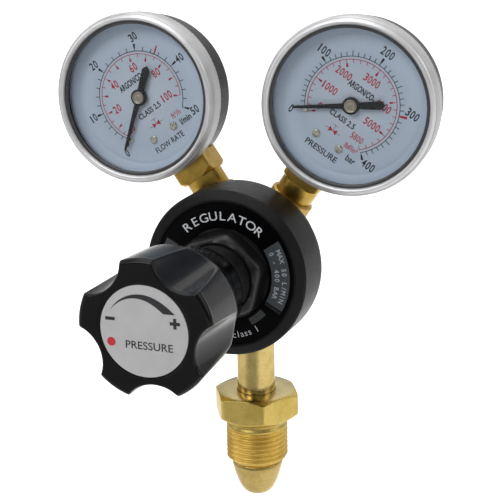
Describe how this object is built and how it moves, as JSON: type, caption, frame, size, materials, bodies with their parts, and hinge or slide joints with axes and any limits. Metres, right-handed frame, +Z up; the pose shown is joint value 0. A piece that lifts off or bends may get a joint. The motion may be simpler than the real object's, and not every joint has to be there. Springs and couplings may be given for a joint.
{
  "type": "gas cylinder pressure regulator",
  "caption": "Brass gas cylinder regulator: round housing, lobed adjusting knob, pair of dial gauges on angled stems, threaded inlet nut and barbed hose outlet.",
  "frame": {"origin": "middle of the inlet nut's thread, on the inlet axis", "axes": "+Z up along the inlet axis towards the body, -Y forward along the knob axis, +X to the right as seen from the front"},
  "size_m": [0.1364, 0.1106, 0.1787],
  "materials": {
    "brass": "satin machined brass",
    "brass_plated": "polished plated ring",
    "steel": "bright zinc plated steel",
    "spring_steel": "oiled spring wire",
    "black_housing": "semi gloss black paint",
    "black_plastic": "fine matte moulding",
    "knob_plastic": "glossy black moulded grip",
    "silver_label": "fine satin printed plate",
    "black_label": "printed ring label",
    "rubber": "reinforced rubber",
    "black_case": "black enamel",
    "lens": "clear window",
    "dial_white": "white printed dial",
    "pointer_black": "matte black",
    "sinter": "sintered bronze"
  },
  "bodies": {
    "regulator": {"body": "brass", "seat_nozzle": "brass", "valve_spring": "spring_steel", "rear_plug": "brass", "diaphragm": "rubber", "slip_ring": "steel", "adjusting_spring": "spring_steel", "bonnet": "black_housing", "housing_cover": "black_plastic", "label_ring": "black_label", "inlet_nipple": "brass", "inlet_filter": "sinter", "outlet_adapter": "brass", "hose_tail": "brass", "left_case": "black_case", "left_bezel": "brass_plated", "left_gasket": "rubber", "left_lens": "lens", "left_dial": "dial_white", "left_dial_screws": "steel", "left_stop_pin": "steel", "left_movement_frame": "brass", "left_bourdon_tube": "brass", "left_socket": "brass", "left_case_screws": "steel", "left_blowout_plug": "rubber", "right_case": "black_case", "right_bezel": "brass_plated", "right_gasket": "rubber", "right_lens": "lens", "right_dial": "dial_white", "right_dial_screws": "steel", "right_stop_pin": "steel", "right_movement_frame": "brass", "right_bourdon_tube": "brass", "right_socket": "brass", "right_case_screws": "steel", "right_blowout_plug": "rubber"},
    "spring_button": {"spring_button": "steel"},
    "knob": {"knob": "knob_plastic", "knob_cap": "silver_label", "knob_insert": "brass", "adjusting_screw": "steel"},
    "diaphragm_plate": {"diaphragm_plate": "brass"},
    "valve_poppet": {"valve_poppet": "steel"},
    "inlet_nut": {"inlet_nut": "brass"},
    "hose_nut": {"hose_nut": "brass"},
    "left_pointer": {"left_pointer": "pointer_black", "left_pointer_cap": "steel", "left_spindle": "brass"},
    "left_sector": {"left_sector_gear": "brass"},
    "left_link": {"left_link": "steel"},
    "right_pointer": {"right_pointer": "pointer_black", "right_pointer_cap": "steel", "right_spindle": "brass"},
    "right_sector": {"right_sector_gear": "brass"},
    "right_link": {"right_link": "steel"}
  },
  "joints": [
    {"name": "button_slide", "type": "slide", "parent": "regulator", "child": "spring_button", "axis": [0, 1, 0], "range_m": [0, 0.0075], "deforming": ["adjusting_spring"]},
    {"name": "knob_turn", "type": "hinge", "parent": "spring_button", "child": "knob", "pos_m": [0, -0.06, 0.07335], "axis": [0, 1, 0], "range_deg": [0, 1800]},
    {"name": "diaphragm_slide", "type": "slide", "parent": "regulator", "child": "diaphragm_plate", "axis": [0, 1, 0], "range_m": [0, 0.0005], "deforming": ["adjusting_spring"]},
    {"name": "valve_slide", "type": "slide", "parent": "regulator", "child": "valve_poppet", "axis": [0, 1, 0], "range_m": [0, 0.0005], "deforming": ["valve_spring"]},
    {"name": "inlet_nut_spin", "type": "hinge", "parent": "regulator", "child": "inlet_nut", "pos_m": [0, 0, 0], "axis": [0, 0, 1], "continuous": true},
    {"name": "hose_nut_spin", "type": "hinge", "parent": "regulator", "child": "hose_nut", "pos_m": [-0.03041, 0, 0.04294], "axis": [-0.7071, 0, -0.7071], "continuous": true},
    {"name": "left_pointer_turn", "type": "hinge", "parent": "regulator", "child": "left_pointer", "pos_m": [-0.03814, -0.01, 0.12943], "axis": [-0.0148, 0.9998, -0.0101], "range_deg": [0, 262], "stiffness_Nm_per_rad": 0.0002, "springref_deg": -28.65},
    {"name": "left_sector_turn", "type": "hinge", "parent": "regulator", "child": "left_sector", "pos_m": [-0.02768, -0.00368, 0.12562], "axis": [-0.0148, 0.9998, -0.0101], "range_deg": [-44, 0]},
    {"name": "left_link_turn", "type": "hinge", "parent": "left_sector", "child": "left_link", "pos_m": [-0.0237, -0.00332, 0.12527], "axis": [-0.0148, 0.9998, -0.0101], "range_deg": [0, 44], "deforming": ["left_bourdon_tube"]},
    {"name": "right_pointer_turn", "type": "hinge", "parent": "regulator", "child": "right_pointer", "pos_m": [0.03875, -0.00998, 0.12901], "axis": [-0.0461, 0.9984, 0.0315], "range_deg": [0, 262], "stiffness_Nm_per_rad": 0.0002, "springref_deg": -28.65},
    {"name": "right_sector_turn", "type": "hinge", "parent": "regulator", "child": "right_sector", "pos_m": [0.03879, -0.00343, 0.11802], "axis": [-0.0461, 0.9984, 0.0315], "range_deg": [-44, 0]},
    {"name": "right_link_turn", "type": "hinge", "parent": "right_sector", "child": "right_link", "pos_m": [0.03989, -0.00295, 0.11419], "axis": [-0.0461, 0.9984, 0.0315], "range_deg": [0, 44], "deforming": ["right_bourdon_tube"]}
  ],
  "couplings": [
    {"joint": "button_slide", "follows": "knob_turn", "m_per_rad": 0.00023873},
    {"joint": "diaphragm_slide", "follows": "knob_turn", "m_per_rad": 0.000015916},
    {"joint": "valve_slide", "follows": "knob_turn", "m_per_rad": 0.000015916},
    {"joint": "left_sector_turn", "follows": "left_pointer_turn", "ratio": -0.16667},
    {"joint": "left_link_turn", "follows": "left_pointer_turn", "ratio": 0.16667},
    {"joint": "right_sector_turn", "follows": "right_pointer_turn", "ratio": -0.16667},
    {"joint": "right_link_turn", "follows": "right_pointer_turn", "ratio": 0.16667}
  ]
}
